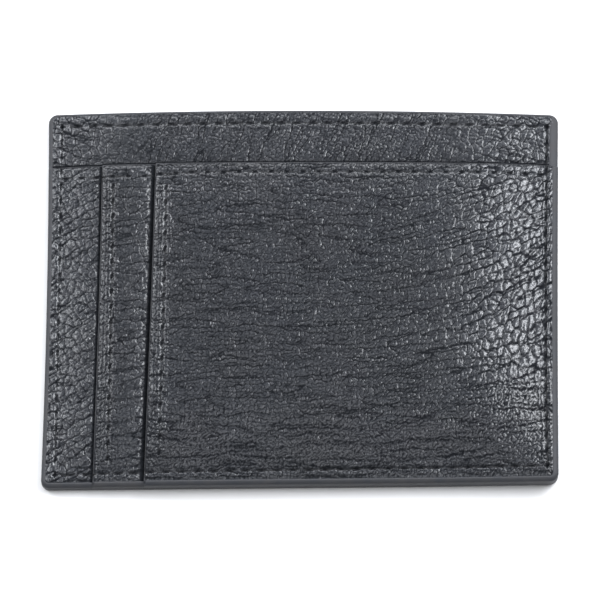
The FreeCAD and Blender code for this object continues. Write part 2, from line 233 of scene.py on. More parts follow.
# %% Wrap a socket so that arithmetic makes nodes
class Field:
    """A socket that arithmetic works on."""

    def __init__(self, tree, socket=None):
        self.tree, self.socket = tree, socket

    def node(self, kind, settings, values, output=0):
        """Any node: its type, its settings, the values or links of its sockets, and its output."""
        made = self.tree.nodes.new("ShaderNode" + kind)
        for name, value in settings.items():
            setattr(made, name, value)
        for name, value in values.items():
            if isinstance(value, Field):
                self.tree.links.new(value.socket, made.inputs[name])
            else:
                made.inputs[name].default_value = value
        return Field(self.tree, made.outputs[output])

    def maths(self, operation, first, second):
        """One Math node on two numbers or fields."""
        return self.node("Math", {"operation": operation}, {0: first, 1: second})

    def __add__(self, other):
        return self.maths("ADD", self, other)

    __radd__ = __add__

    def __sub__(self, other):
        return self.maths("SUBTRACT", self, other)

    def __rsub__(self, other):
        return self.maths("SUBTRACT", other, self)

    def __mul__(self, other):
        return self.maths("MULTIPLY", self, other)

    __rmul__ = __mul__

    def between(self, low, high):
        """0 below low, 1 above high, and even in between."""
        return self.node("MapRange", {"clamp": True}, {
            "Value": self, "From Min": low, "From Max": high})

    def mix(self, first, second):
        """Two colours, mixed by this mask."""
        return self.node("Mix", {"data_type": "RGBA"}, {0: self, 6: first, 7: second}, 2)


print("arithmetic on a field:", [name for name in vars(Field) if name.startswith("__r")])


# %% Turn a shader into a material
def finish(name, build):
    """A material whose surface shader comes from build, which gets an empty field."""
    material = bpy.data.materials.new(name)
    material.use_nodes = True
    material.node_tree.nodes.clear()
    start = Field(material.node_tree)
    surface = build(start)
    output = material.node_tree.nodes.new("ShaderNodeOutputMaterial")
    material.node_tree.links.new(surface.socket, output.inputs["Surface"])
    print("finish", name, "has", len(material.node_tree.nodes), "nodes")
    return material


def grey(level, tint=(1.0, 1.0, 1.0)):
    """A colour this dark or light, with a tint."""
    return tuple(level * t for t in tint) + (1.0,)


print("middle grey", grey(0.18))

# %% [markdown]
# ## Leather finish
# Tumbled, pigmented leather is a dull dye under a thin clear top coat. The coat is polished on the
# pebbles and worn away in the creases, so creases are rougher. Their colour is darkened too, which
# is painted shade in the creases, needle holes and tucks. Loose hide is rubbed more than tight
# hide, so it is a little glossier. The mesh carries both as marks, crease shade and gloss, because
# they come from the same grain as its shape. Only pores, too small for the mesh, are a bump.

# %% Mix the leather finish
INK = (0.84, 0.95, 1.2)
WARM = (1.0, 1.0, 1.08)
DYE = 0.0065  # how dark the dye is, as a share of the light that it returns


def leather_finish(start):
    place = start.node("TexCoord", {}, {}, "Object")
    crease_shade = start.node("Attribute", {"attribute_name": "crease_shade"}, {}, "Fac")
    gloss = start.node("Attribute", {"attribute_name": "gloss"}, {}, "Fac")
    blotch = start.node("TexNoise", {}, {"Vector": place, "Scale": 110.0, "Detail": 3.0}, "Fac")
    pores = start.node("TexNoise", {}, {"Vector": place, "Scale": 3600.0, "Detail": 2.5}, "Fac")
    polish = (1.0 - crease_shade) * pores.between(0.25, 0.6) * (0.85 + gloss * 0.15)
    dye = blotch.between(0.35, 0.65).mix(grey(DYE, INK), grey(DYE * 1.15, WARM))
    # painted shade: the crease shade mark darkens the dye in creases, needle holes and tucks
    colour = (crease_shade * 0.9).mix(dye, grey(DYE * 0.15))
    bump = start.node("Bump", {}, {
        "Strength": 1.0, "Distance": 0.000013, "Height": pores}, "Normal")
    return start.node("BsdfPrincipled", {}, {
        "Base Color": colour, "Roughness": 0.55 - gloss * 0.1 + crease_shade * 0.35, "Normal": bump,
        "IOR": 1.28, "Specular Tint": (0.85, 0.95, 1.15, 1), "Coat Weight": polish,
        "Coat Roughness": 0.23, "Coat IOR": 1.75})


leather = finish("grained_leather", leather_finish)

# %% [markdown]
# ## Edge paint, thread, cloth and board
# Edge paint is a thick satin resin, rubbed smooth, so it needs only a slow waviness. Thread is
# nearly black and waxed, with a little fuzz. Lining is a fine twill, whose diagonal ribs are a
# wave in the bump. The board inside never shows, and still gets its fibres.


# %% Mix the edge paint and the thread
def paint_finish(start):
    place = start.node("TexCoord", {}, {}, "Object")
    patch = start.node("TexNoise", {}, {"Vector": place, "Scale": 400.0, "Detail": 3.0}, "Fac")
    bump = start.node("Bump", {}, {"Strength": 0.6, "Distance": 0.00004, "Height": patch}, "Normal")
    return start.node("BsdfPrincipled", {}, {
        "Base Color": patch.between(0.3, 0.7).mix(grey(0.02, INK), grey(0.027, WARM)),
        "Roughness": 0.62 + (patch - 0.5) * 0.2, "Normal": bump, "IOR": 1.45})


def thread_finish(start):
    place = start.node("TexCoord", {}, {}, "Object")
    fuzz = start.node("TexNoise", {}, {"Vector": place, "Scale": 5000.0, "Detail": 2.0}, "Fac")
    bump = start.node("Bump", {}, {"Strength": 0.5, "Distance": 0.00002, "Height": fuzz}, "Normal")
    return start.node("BsdfPrincipled", {}, {
        "Base Color": fuzz.between(0.3, 0.7).mix(grey(0.004), grey(0.01, INK)),
        "Roughness": 0.6 + (fuzz - 0.5) * 0.2, "Normal": bump, "IOR": 1.3})


edge_paint = finish("edge_paint", paint_finish)
thread = finish("waxed_thread", thread_finish)


# %% Mix the lining and the board
def cloth_finish(start):
    place = start.node("TexCoord", {}, {}, "Object")
    ribs = start.node("TexWave", {"bands_direction": "DIAGONAL"}, {
        "Vector": place, "Scale": 900.0, "Distortion": 0.4, "Detail": 1.0}, "Fac")
    bump = start.node("Bump", {}, {"Strength": 0.6, "Distance": 0.00004, "Height": ribs}, "Normal")
    return start.node("BsdfPrincipled", {}, {
        "Base Color": ribs.mix(grey(0.008), grey(0.02, INK)), "Roughness": 0.8, "Normal": bump})


def board_finish(start):
    place = start.node("TexCoord", {}, {}, "Object")
    fibre = start.node("TexNoise", {}, {"Vector": place, "Scale": 700.0, "Detail": 5.0}, "Fac")
    return start.node("BsdfPrincipled", {}, {
        "Base Color": fibre.mix((0.2, 0.15, 0.1, 1), (0.4, 0.32, 0.22, 1)), "Roughness": 0.85})


cloth = finish("lining_twill", cloth_finish)
board = finish("stiffener_board", board_finish)

# %% [markdown]
# ## Repeatable chance
# Grain needs chance that never changes between runs. Hashing whole-number places gives a value
# for each, and two kinds of pattern follow: smooth noise, and cells with the distance to the
# nearest border, which is what a pebble of leather is.


# %% Make smooth noise
def chance(i, j, seed):
    """A value from 0 to 1 for each whole-number place."""
    n = (i * 374761393 + j * 668265263 + seed * 1442695041) & 0xFFFFFFFF
    n = ((n ^ (n >> 13)) * 1274126177) & 0xFFFFFFFF
    return ((n ^ (n >> 16)) & 0xFFFFFF) / 0xFFFFFF


def noise(x, y, seed):
    """Smooth noise from about -1 to 1, one bump per unit."""
    i, j = np.floor(x).astype(np.int64), np.floor(y).astype(np.int64)
    u, v = x - i, y - j
    total = 0
    for a in (0, 1):
        for b in (0, 1):
            angle = 2 * np.pi * chance(i + a, j + b, seed)
            slope = np.cos(angle) * (u - a) + np.sin(angle) * (v - b)
            total = total + slope * ease(u if a else 1 - u) * ease(v if b else 1 - v)
    return total * 1.5


sample_x, sample_y = np.meshgrid(np.arange(0, 20, 0.1), np.arange(0, 20, 0.1))
print("noise spreads by", noise(sample_x, sample_y, 3).std().round(3))


# %% Make irregular cells
def cells(x, y, seed, spread=0.9):
    """Irregular cells, one per unit: the distance to the nearest border, and a height that tilts
    each cell its own way. Each cell belongs to the nearest middle."""
    i, j = np.floor(x).astype(np.int64), np.floor(y).astype(np.int64)
    best = np.full(x.shape, 9.0)
    home_x, home_y, home = np.zeros(x.shape), np.zeros(x.shape), np.zeros(x.shape)

    def middle(a, b):
        jitter_x = 0.5 + spread * (chance(i + a, j + b, seed) - 0.5)
        jitter_y = 0.5 + spread * (chance(i + a, j + b, seed + 71) - 0.5)
        return i + a + jitter_x - x, j + b + jitter_y - y

    for a in (-1, 0, 1):
        for b in (-1, 0, 1):
            dx, dy = middle(a, b)
            nearer = dx * dx + dy * dy < best
            best = np.where(nearer, dx * dx + dy * dy, best)
            home_x, home_y = np.where(nearer, dx, home_x), np.where(nearer, dy, home_y)
            home = np.where(nearer, chance(i + a, j + b, seed + 5), home)
    border = np.full(x.shape, 9.0)
    for a in (-2, -1, 0, 1, 2):
        for b in (-2, -1, 0, 1, 2):
            dx, dy = middle(a, b)
            gap_x, gap_y = dx - home_x, dy - home_y
            length = np.hypot(gap_x, gap_y)
            other = length > 1e-6
            reach = (dx + home_x) * gap_x + (dy + home_y) * gap_y
            reach = reach / (2 * np.where(other, length, 1))
            border = np.where(other, np.minimum(border, reach), border)
    tilt = np.cos(2 * np.pi * home) * home_x + np.sin(2 * np.pi * home) * home_y
    return border, tilt


sample = cells(sample_x, sample_y, 3)[0]
print("cell borders from", sample.min().round(3), "to", sample.max().round(3))

# %% [markdown]
# ## Grain
# Hide has big pebbles with small ones inside, a fine maze of lines where it is tight, and long
# creases where it was folded in the drum. Stretched hide shows the maze and loose hide the big
# soft pebbles, so a mask says how loose it is. The creases follow a flow: coordinates are turned
# and bent before the pattern is read.


# %% Draw wavy crease lines
def groove(distance, width):
    """1 in the middle of a line, and down to 0 at about twice its width."""
    return np.exp(-((distance / width) ** 2))


def fold_lines(u, v, length, spacing, seed):
    """Distance in millimetres to wavy lines: where stretched noise is zero, over its slope."""
    here = noise(u / length, v / spacing, seed)
    step = 0.05
    over = (noise((u + step) / length, v / spacing, seed) - here) / step
    up = (noise(u / length, (v + step) / spacing, seed) - here) / step
    return np.abs(here) / (np.hypot(over, up) + 0.05)


sample = fold_lines(sample_x, sample_y, 16.0, 1.9, 3)
print("nearest crease, on average:", sample.mean().round(2), "mm")

# %% Grow the grain
PEBBLE, SMALL_PEBBLE, MAZE = (1.6, 1.8), (0.68, 0.8), (0.85, 0.7)  # millimetres along and across
PEBBLE_MEAN, SMALL_PEBBLE_MEAN = 1.7, 0.74
LONG_FOLDS, WIDE_FOLDS = (16.0, 1.9), (18.0, 3.4)  # millimetres from bend to bend, and apart


def wander(along, across, seed):
    """Small and large waves, which keep the grain's lines from running straight."""
    small = 0.25 * noise(along / 1.1, across / 1.1, seed)
    return small + 0.4 * noise(along / 4, across / 4, seed + 1)


def grain(along, across, loose, seed):
    """Height in millimetres; how deep in a crease each place is, from 0 to 1, which the finish
    paints as shade; and how polished, from 0 to 1.
    """
    u, v = along + wander(along, across, seed), across + wander(along, across, seed + 2)
    far, far_tilt = cells(u / PEBBLE[0], v / PEBBLE[1], seed + 4)
    near, near_tilt = cells(u / SMALL_PEBBLE[0], v / SMALL_PEBBLE[1], seed + 5)
    far, near = far * PEBBLE_MEAN, near * SMALL_PEBBLE_MEAN
    maze = fold_lines(u, v, *MAZE, seed + 10)
    folds = np.minimum(fold_lines(u, v, *LONG_FOLDS, seed + 6),
                       fold_lines(u, v, *WIDE_FOLDS, seed + 7))
    patchy = ease(0.5 + 1.2 * noise(along / 8, across / 2, seed + 8))
    tight = 1 - loose
    deep_far = groove(far, 0.12) * loose
    deep_near = groove(near, 0.11) * (0.6 - 0.25 * loose)
    deep_maze = groove(maze, 0.11) * (0.15 + 0.85 * tight)
    deep_fold = groove(folds, 0.14) * (0.35 + 0.5 * patchy + 0.15 * loose)
    height = 0.1 * loose * (1 - np.exp(-far / 0.2)) + 0.042 * (1 - np.exp(-near / 0.11))
    height = height + 0.11 * loose * far_tilt + (0.03 + 0.016 * loose) * near_tilt
    height = height - 0.05 * deep_far - 0.02 * deep_near - 0.045 * deep_maze - 0.08 * deep_fold
    height = height + (0.012 + 0.018 * tight) * noise(along / 0.42, across / 0.38, seed + 9)
    # how deep in a crease, which the finish paints as shade
    crease_shade = 0.95 * deep_far + 0.65 * deep_near + 0.8 * deep_maze + 0.9 * deep_fold
    return height, np.clip(crease_shade, 0, 1), loose


sample = grain(sample_x, sample_y, 0.5 + 0 * sample_x, 3)[0]
print("grain is", (sample.max() - sample.min()).round(2), "mm deep")

# %% [markdown]
# ## The grain of each sheet
# Each sheet was cut from another part of the hide, at another angle, so each has its own
# direction, looseness and chance. The front is tight in the middle and loose towards the right,
# where its creases climb. The divider is tight in the middle and loose at both ends.


# %% Give each sheet its grain
def turned(x, y, degrees):
    """Coordinates along and across a direction."""
    c, s = math.cos(math.radians(degrees)), math.sin(math.radians(degrees))
    return x * c + y * s, y * c - x * s


def front_grain(x, y):
    rise = 0.5 * np.clip(x - 5, 0, None) ** 2 / 90 * ease((y + 34) / 45)
    loose = ease((x + 4 * noise(x / 9, y / 6, 41) - 19) / 22) * ease((y + 24) / 14)
    return grain(x, y - rise, loose, 10)


def slot_grain(x, y):
    return grain(*turned(x, y, 8), 0.6 * ease((x + 38) / 6), 30)


def base_grain(x, y):
    return grain(*turned(x, y, 32), 0.75 + 0 * x, 50)


def divider_grain(x, y):
    along, across = turned(x, y, 68)
    ends = ease((np.abs(x + 2) - 26) / 16)
    middle = grain(along, across, 0.12 + 0 * x, 70)
    loose = grain(*turned(x, y, -12), 0.85 + 0 * x, 90)
    return tuple(m * (1 - ends) + e * ends for m, e in zip(middle, loose))


def rear_grain(x, y):
    return grain(*turned(x, y, 14), 0.45 + 0.4 * ease(0.5 + noise(x / 20, y / 20, 5)), 110)


sample = front_grain(np.array([40.0]), np.array([0.0]))[2]
print("the right of the front is loose by", sample.round(2))

# %% [markdown]
# ## The soft shape of each layer
# A seam presses the layers flat. Away from it they swell, quickly at first and then less, like a
# pillow. Each pocket layer lies on the one behind with a small gap, which closes towards the
# seams. Where one layer goes under another it dips a little. Each layer's height is one function
# of place, so the paint and the thread that lie on it can ask for it too.


# %% Swell between the seams
SIDE_SEAM, BOTTOM_SEAM, TOP_SEAM = 2.4, 2.8, 2.3  # millimetres from the outline
FULLNESS, MAIN_GAP, SLOT_GAPS = 0.85, 0.35, {"slot": 0.2, "front": 0.55}  # millimetres
SLOT_CUT = {"slot": (0.18, 0.6), "front": (0.6, 1.2)}  # how far a slot is shifted, and leans


def pillow(distance, start, run):
    """0 up to start, and then up to 1 over the run, quickly at first."""
    t = np.clip((distance - start) / run, 0, 1)
    return 1 - (1 - t) ** 2


def slot_line(layer, y):
    """Where a slot's mouth runs. It was cut a little off square."""
    shift, lean = SLOT_CUT[layer]
    return slot_x[layer] + shift + lean * (y + 5) / 65


def stuffing(x, y):
    """How full the holder is, from 0 at the outline's seams to 1."""
    sides = pillow(half_w + x, SIDE_SEAM, 14) * pillow(half_w - x, SIDE_SEAM, 15)
    return sides * pillow(half_h + y, BOTTOM_SEAM, 16) * pillow(half_h - y, TOP_SEAM, 13)


print("the middle is", stuffing(0.0, 0.0).round(2), "full, near a corner",
      stuffing(half_w - 6, half_h - 6).round(2))

# %% Tuck each layer under the next
TUCKS = {"divider": (0.4, 0.38), "base": (0.4, 0.65), "slot": (0.5, 0.92)}  # how deep, how wide


def stack_above(x, y):
    """How much pressed leather lies on the divider at the mouth. A thick stack hides more."""
    stack = layers["base"]["top"] - divider_top - 0.5 + (x > slot_line("slot", y)) * (
        layers["slot"]["top"] - layers["base"]["top"])
    return stack + (x > slot_line("front", y)) * (layers["front"]["top"] - layers["slot"]["top"])


def beside_tuck(layer, x, y):
    """Distance from where the next layer lies on this one."""
    return {"divider": y - mouth_y - 0.26 * stack_above(x, y), "base": slot_line("slot", y) - x,
            "slot": slot_line("front", y) - x}[layer]


def dip(layer, x, y):
    """How far a layer is pushed down beside and under the next one."""
    depth, width = TUCKS[layer]
    return depth * np.exp(-np.clip(beside_tuck(layer, x, y), 0, None) / width)


print("beside the first slot the base dips by", dip("base", slot_line("slot", 0.0), 0.0), "mm")


# %% Find the height of each layer's face
def divider_face(x, y):
    return divider_top + FULLNESS * stuffing(x, y) - dip("divider", x, y)


def base_level(x, y):
    """The base's face before it is tucked. The pocket behind it gapes, and less so at its mouth."""
    lifted = pillow(half_w + x, SIDE_SEAM, 9) * pillow(half_w - x, SIDE_SEAM, 13)
    lifted = lifted * pillow(half_h + y, BOTTOM_SEAM, 14)
    mouth = 0.5 + 0.5 * pillow(mouth_y - y, 0, 9)
    return layers["base"]["top"] + FULLNESS * stuffing(x, y) + MAIN_GAP * lifted * mouth


def base_face(x, y):
    return base_level(x, y) - dip("base", x, y)


def slot_gap(x, y, layer):
    """How far a slot stands open. Its ends and its far side are sewn shut."""
    bottom = pillow(half_h + y, BOTTOM_SEAM, 24 if layer == "front" else 16)
    ends = bottom * pillow(mouth_y - 1.9 - y, 0, 14)
    closed = pillow((stop_x if layer == "slot" else half_w - SIDE_SEAM) - x, 0, 13)
    return SLOT_GAPS[layer] * ends * closed


def slot_level(x, y):
    return base_level(x, y) + layers["slot"]["top"] - layers["base"]["top"] + slot_gap(x, y, "slot")


def slot_face(x, y):
    return slot_level(x, y) - dip("slot", x, y)


def front_face(x, y):
    above_slot = slot_level(x, y) + layers["front"]["top"] - layers["slot"]["top"]
    return above_slot + slot_gap(x, y, "front")


FACES = {"divider": divider_face, "base": base_face, "slot": slot_face, "front": front_face}


def top_layer(x, y):
    """The name of the layer that shows at each place."""
    if y > mouth_y:
        return "divider"
    if x < slot_line("slot", y):
        return "base"
    return "slot" if x < slot_line("front", y) else "front"


print("middle of the front stands at", front_face(np.array(5.0), np.array(-5.0)).round(2), "mm")

# %% [markdown]
# ## Seams
# A seam is a row of needle holes. The thread between two holes is tight, so it sinks into the
# leather and puckers it. The sewer's hand wanders a little, so each row has a line of its own. A
# small class keeps a row together: where its holes are, and how it marks the leather.

# %% Describe a row of needle holes
PITCH = 3.14  # millimetres from hole to hole


class Seam:
    """A row of holes that runs up or across. line gives its place across, and hole the width and
    the length of each mark. slant leans the marks, and shade darkens the line between them."""

    def __init__(self, upright, line, first, last, hole=(0.22, 0.6), slant=0.2, shade=0.1):
        self.upright, self.line = upright, line
        self.hole, self.slant, self.shade = hole, slant, shade
        self.count = max(1, round(abs(last - first) / PITCH))
        self.first, self.step = first, (last - first) / self.count

    def holes(self):
        along = self.first + self.step * np.arange(self.count + 1)
        return [(self.line(a), a) if self.upright else (a, self.line(a)) for a in along]

    def marks(self, x, y):
        """How far the seam moves the leather's face, and the painted shade in its holes and along
        its line.
        """
        along, across = (y, x - self.line(y)) if self.upright else (x, y - self.line(x))
        index = np.clip(np.round((along - self.first) / self.step), 0, self.count)
        beside = along - (self.first + index * self.step)
        low, high = sorted((self.first, self.first + self.step * self.count))
        present = ease((along - low + 0.7) / 0.5) * ease((high + 0.7 - along) / 0.5)
        channel = groove(across, 1.5 * self.hole[0]) * present
        slanted = across - self.slant * beside
        hole = np.exp(-((slanted / self.hole[0]) ** 2) - (beside / self.hole[1]) ** 4) * present
        wave = 0.5 + 0.5 * np.cos(2 * np.pi * (along - self.first) / self.step)
        pucker = groove(np.abs(across) - 0.8, 0.4) * present * (0.3 + 0.7 * wave)
        # painted shade in the holes, and by shade along the line between them
        dark = np.clip(1.15 * hole + self.shade * channel, 0, 1)
        return -0.07 * channel - 0.28 * hole + 0.09 * pucker, dark


trial = Seam(False, lambda x: 0 * x, 0.0, 31.4)
print("a seam of 31.4 mm has", len(trial.holes()), "holes")

# %% Draw the line of each seam
TO_LINE = 0.2  # from the side of the packed thread to the line of its seam
seam_x = corners("perimeter_needle_thread")[1][0] - TO_LINE
seam_low = corners("perimeter_needle_thread")[0][1] + TO_LINE
seam_high = half_h - 2.6


def bottom_line(x):
    return seam_low + 0.2 + 0.6 * (x / half_w + 1) / 2


def left_line(y):
    return -seam_x + 0.1 + 0.35 * (y / half_h) ** 2


def right_line(y):
    return seam_x - 0.1 + 0.25 * (y / half_h) ** 2


def top_line(x):
    return seam_high + 0.1 * (1 - (x / half_w) ** 2)


def mouth_line(x):
    return mouth_y - 2.5 + 0.5 * ease((x + 34) / 14) - 0.2 * ease((x - 38) / 8)


print("the outline's seam is", half_w - seam_x, "mm from the side")

# %% Lay out the seams
NARROW = {"hole": (0.12, 0.75), "slant": 0.05}
outline = {
    "bottom": Seam(False, bottom_line, left_line(seam_low), right_line(seam_low), **NARROW),
    "right": Seam(True, right_line, bottom_line(seam_x), top_line(seam_x), shade=0.9,
                  hole=(0.17, 0.95), slant=0.05),
    "top": Seam(False, top_line, right_line(seam_high), left_line(seam_high), **NARROW),
    "left": Seam(True, left_line, top_line(-seam_x), bottom_line(-seam_x), shade=0.5, **NARROW),
}


def ends(node, axis):
    """Where a row of holes starts and stops, from its packed thread."""
    first, last = corners(node)
    return first[axis] + 0.25, last[axis] - 0.25


def slot_mouth_seam(layer, node):
    """The seam beside a slot's mouth. It runs a little closer to it at the top."""
    first, last = ends(node, 1)
    return Seam(True, lambda y: slot_line(layer, y) + 2.2 + 0.5 * (25 - y) / 60, first - 0.6, last)


mouth_first, mouth_last = ends("pocket_mouth_needle_thread", 0)
mouth_seam = Seam(False, mouth_line, mouth_first - 2.4, mouth_last + 2.4, hole=(0.12, 0.5),
                  slant=0, shade=0.35)
slot_seam = slot_mouth_seam("slot", "slot_1_mouth_needle_thread")
front_seam = slot_mouth_seam("front", "slot_2_mouth_needle_thread")
stop_seam = Seam(True, lambda y: stop_x - 0.2 + 0 * y, *ends("slot_1_stop_needle_thread", 1))
print("stitches:", sum(s.count for s in outline.values()), mouth_seam.count, slot_seam.count)

# %% [markdown]
# ## Cutting the sheets
# Each sheet is a grid whose lines are close together where the sheet shows and far apart where it
# is hidden. Its corners are rounded by pulling the grid's corner squares into quarter discs. Near
# a cut edge the face rolls over, so that the paint can lie on it. The grain is real shape, not a
# bump, so it catches the light properly and is still there when the mesh is used elsewhere.

# %% Lay out the grid
FINE, COARSE = 0.16, 1.5  # millimetres between lines, where a sheet shows and where it is hidden
CORNER = 1.6  # radius of the outline's corners
INSET = 0.15  # the leather stops this far inside the outline, under the paint


def lines(*stretches):
    """Grid lines over stretches of (from, to, spacing)."""
    found = [np.linspace(a, b, max(2, int(round((b - a) / step)) + 1)) for a, b, step in stretches]
    return np.unique(np.concatenate(found).round(6))


def rounded(x, y, inset):
    """Pulls the corners of a grid that ends at inset into arcs."""
    radius = CORNER - inset
    middle_x, middle_y = half_w - CORNER, half_h - CORNER
    p = np.clip((np.abs(x) - middle_x) / radius, 0, 1)
    q = np.clip((np.abs(y) - middle_y) / radius, 0, 1)
    new_p, new_q = p * np.sqrt(1 - q**2 / 2), q * np.sqrt(1 - p**2 / 2)
    return (x + np.sign(x) * (new_p - p) * radius, y + np.sign(y) * (new_q - q) * radius)


def leaned(layer, x, y):
    """Moves a slot sheet's open side to its leaning line, and the rest less and less."""
    if layer not in slot_x:
        return x
    return x + (slot_line(layer, y) - slot_x[layer]) * (1 - ease((x - slot_x[layer]) / 25))


def outline_distance(x, y):
    """Distance to the holder's edge, corners included."""
    over_x, over_y = np.abs(x) - (half_w - CORNER), np.abs(y) - (half_h - CORNER)
    corner = np.hypot(np.clip(over_x, 0, None), np.clip(over_y, 0, None))
    return CORNER - np.where((over_x > 0) & (over_y > 0), corner, np.maximum(over_x, over_y))


print("the middle is", outline_distance(0.0, 0.0), "mm from the outline")

# %% Say how far the paint laps over the face
LAP = {"right": 0.95, "left": 0.6, "top": 0.35, "bottom": 0.85}


def lap_towards(out_x, out_y, y):
    """How far the paint laps over the face where the outline faces this way."""
    right = LAP["right"] + 0.6 * ease((y - mouth_y) / 0.5)
    lap = right * np.clip(out_x, 0, 1) ** 2 + LAP["left"] * np.clip(-out_x, 0, 1) ** 2
    lap = lap + LAP["top"] * np.clip(out_y, 0, 1) ** 2
    return lap + LAP["bottom"] * np.clip(-out_y, 0, 1) ** 2


def lap_at(x, y):
    """The same from a place on the face, whose nearest side counts most."""
    near_side, near_end = np.exp(-(half_w - np.abs(x))), np.exp(-(half_h - np.abs(y)))
    length = np.hypot(near_side, near_end)
    return lap_towards(np.sign(x) * near_side / length, np.sign(y) * near_end / length, y)


print("the paint laps over the right side by", lap_at(half_w, 0.0).round(2), "mm")


# %% Roll the cut edges and mark the creases
def rolled(distance, width, drop):
    """How far a face has rolled down, this far from its cut edge."""
    t = np.clip(1 - distance / width, 0, 1)
    return drop * (1 - np.sqrt(1 - t**2))


def mouth_cuts(layer, x, y):
    """Distances from a sheet's open cut edges: its top at the pocket, and its side at a slot."""
    cuts = [mouth_y - y] if layer != "divider" else []
    return cuts + ([x - slot_line(layer, y)] if layer in slot_x else [])


def tuck_shadow(layer, x, y):
    """1 where a layer goes under the next one: painted shade there."""
    width = TUCKS[layer][1] * 1.1
    return ease((1.35 * width - beside_tuck(layer, x, y)) / (0.6 * width))


def marked(geometry, crease_shade, gloss):
    """A sheet with its marks. Its back has none."""
    hidden = np.zeros(len(geometry[0]) - crease_shade.size)
    return geometry, {"crease_shade": np.append(crease_shade.ravel(), hidden),
                      "gloss": np.append(gloss.ravel(), hidden)}


print("halfway over, an edge has dropped by", rolled(0.5, 1.0, 1.0).round(2), "of its height")


# %% Shape one sheet of leather
def cut_sheet(layer, x_lines, y_lines, thickness, pattern, seams):
    """One leather sheet's geometry and its marks."""
    x, y = rounded(*np.meshgrid(x_lines, y_lines), INSET)
    x = leaned(layer, x, y)
    smooth = FACES[layer](x, y)
    height, crease_shade, gloss = pattern(x, y)
    edge, lap = outline_distance(x, y), lap_at(x, y)
    face, needle_shade, calm = smooth.copy(), np.zeros_like(x), np.ones_like(x)
    for seam in seams:
        moved, dark = seam.marks(x, y)
        face += np.where(moved > 0, moved * ease((edge - lap) / 0.5), moved)
        needle_shade = np.maximum(needle_shade, dark)
        calm *= 1 - 0.35 * np.clip(-moved / 0.2, 0, 1)
    roll = rolled(edge, lap + 0.1, 0.75) + 0.12 * (1 - ease((edge - lap) / 1.2))
    for cut in mouth_cuts(layer, x, y):
        roll = roll + 0.28 * np.clip(1 - cut / 1.0, 0, 1) ** 1.5 + rolled(cut, 0.25, 0.2)
        roll = roll + 0.06 * groove(cut - 1.15, 0.18)
        calm *= 0.6 + 0.4 * ease((cut - 0.1) / 0.3)
    calm *= ease((edge - lap + 0.1) / 0.3)
    face = face + height * calm - roll
    under = np.minimum(smooth - thickness - 0.3 * roll, face - 0.1)
    # the face is darker where it meets the edge paint
    darker_at_paint = 0.6 * (1 - ease((edge - lap) / 0.25))
    # crease shade: painted shade in the creases, the needle holes and where the next layer lies on
    # this one
    crease_shade = np.maximum(np.maximum(crease_shade * calm, darker_at_paint), needle_shade)
    if layer in TUCKS:
        crease_shade = np.maximum(crease_shade, tuck_shadow(layer, x, y))
    return marked(shell(x, y, face, under, skip=4), crease_shade, gloss)


print("the front's face is at", FACES["front"](0.0, 0.0).round(2), "mm before its grain")

# %% Cut the four sheets that show
left, right = -half_w + INSET, half_w - INSET
low, high = -half_h + INSET, half_h - INSET
sheets = {
    "divider": (
        lines((left, right, FINE)), lines((low, mouth_y - 2, COARSE), (mouth_y - 2, high, FINE)),
        divider_top - board_top, divider_grain, list(outline.values())),
    "base": (
        lines((left, slot_x["slot"] + 1.5, FINE), (slot_x["slot"] + 1.5, right, COARSE)),
        lines((low, mouth_y, FINE)), layers["base"]["leather"], base_grain,
        [*outline.values(), mouth_seam]),
    "slot": (
        lines((slot_x["slot"], slot_x["front"] + 1.5, FINE),
              (slot_x["front"] + 1.5, right, COARSE)),
        lines((low, mouth_y, FINE)), layers["slot"]["leather"], slot_grain,
        [*outline.values(), mouth_seam, slot_seam, stop_seam]),
    "front": (
        lines((slot_x["front"], right, FINE)), lines((low, mouth_y, FINE)),
        layers["front"]["leather"], front_grain, [*outline.values(), mouth_seam, front_seam]),
}
PANELS = {"divider": "divider_panel", "base": "base_panel", "slot": "slot_1_panel",
          "front": "slot_2_panel"}
for layer, plan in sheets.items():
    geometry, marks = cut_sheet(layer, *plan)
    piece(layer + "_leather", geometry, leather, [PANELS[layer]], marks)

# %% [markdown]
# ## The rear
# The rear leather lies flat on the table, grain down, so its face is the underside of the sheet.
# Behind the divider a thin board keeps the holder stiff.


# %% Cut the rear leather
REAR_FINE = 0.26  # the rear is seen less, so its lines are further apart


def rear_sheet():
    x_lines, y_lines = lines((left, right, REAR_FINE)), lines((low, high, REAR_FINE))
    x, y = rounded(*np.meshgrid(x_lines, y_lines), INSET)
    height, crease_shade, gloss = rear_grain(x, y)
    edge = outline_distance(x, y)
    calm = ease((edge - 0.6) / 0.4)
    face = 0.15 - height * calm
    for seam in outline.values():
        moved, dark = seam.marks(x, y)
        face -= moved
        # crease shade: painted shade in the creases and needle holes
        crease_shade = np.maximum(crease_shade * calm, dark)
    face = np.clip(face, 0, rear_top - 0.2) + rolled(edge, 0.7, 0.45)
    face = np.minimum(face, rear_top - 0.15)
    points, faces = shell(x, y, face, np.full_like(x, rear_top), skip=4)
    return marked((points, faces[:, ::-1]), crease_shade, gloss)


geometry, marks = rear_sheet()
piece("rear_leather", geometry, leather, ["rear_panel"], marks)

# %% Cut the board
BOARD_IN = 1.2  # the board stops this far inside the leather
x, y = rounded(*np.meshgrid(lines((left + BOARD_IN, right - BOARD_IN, 2)),
                            lines((low + BOARD_IN, high - BOARD_IN, 2))), INSET + BOARD_IN)
piece("stiffener", shell(x, y, np.full_like(x, board_top - 0.02), np.full_like(x, rear_top + 0.02)),
      board, ["rear_stiffener"])
